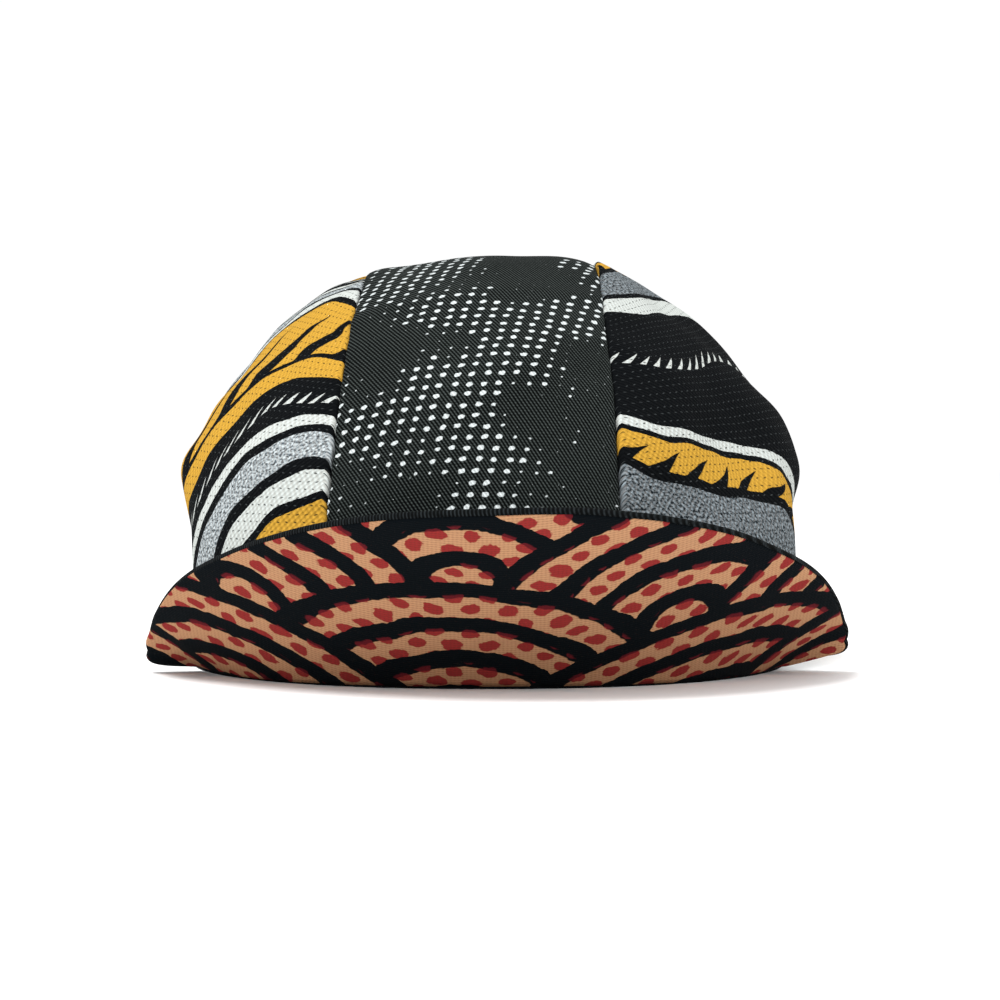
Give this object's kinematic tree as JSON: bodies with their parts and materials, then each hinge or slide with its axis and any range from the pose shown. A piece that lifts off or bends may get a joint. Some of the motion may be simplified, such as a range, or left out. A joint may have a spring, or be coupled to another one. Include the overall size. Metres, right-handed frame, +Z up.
{
  "type": "cycling cap",
  "caption": "Soft cloth cycling cap with a centre strip over a round crown, two printed side panels, an inner band and a short peak flipped up.",
  "frame": {"origin": "under the middle of the whole cap, on the surface that its rim stands on", "axes": "+Z up through the crown, -Y towards the peak's edge, +X to the right as seen from the front"},
  "size_m": [0.1792, 0.2438, 0.1104],
  "materials": {
    "centre_twill": "matte black twill printed with small white dots",
    "left_mesh": "matte knitted mesh printed in amber, white, heather grey and black",
    "right_mesh": "matte knitted mesh printed in amber, white, heather grey and black",
    "band_cotton": "soft matte black cotton",
    "peak_top_twill": "matte black twill",
    "peak_under_twill": "matte twill printed with peach and black bands and red dots"
  },
  "bodies": {
    "root": {"crown_centre_panel": "centre_twill", "crown_left_panel": "left_mesh", "crown_right_panel": "right_mesh", "headband": "band_cotton", "peak_top_cover": "peak_top_twill", "peak_under_cover": "peak_under_twill"}
  },
  "joints": []
}
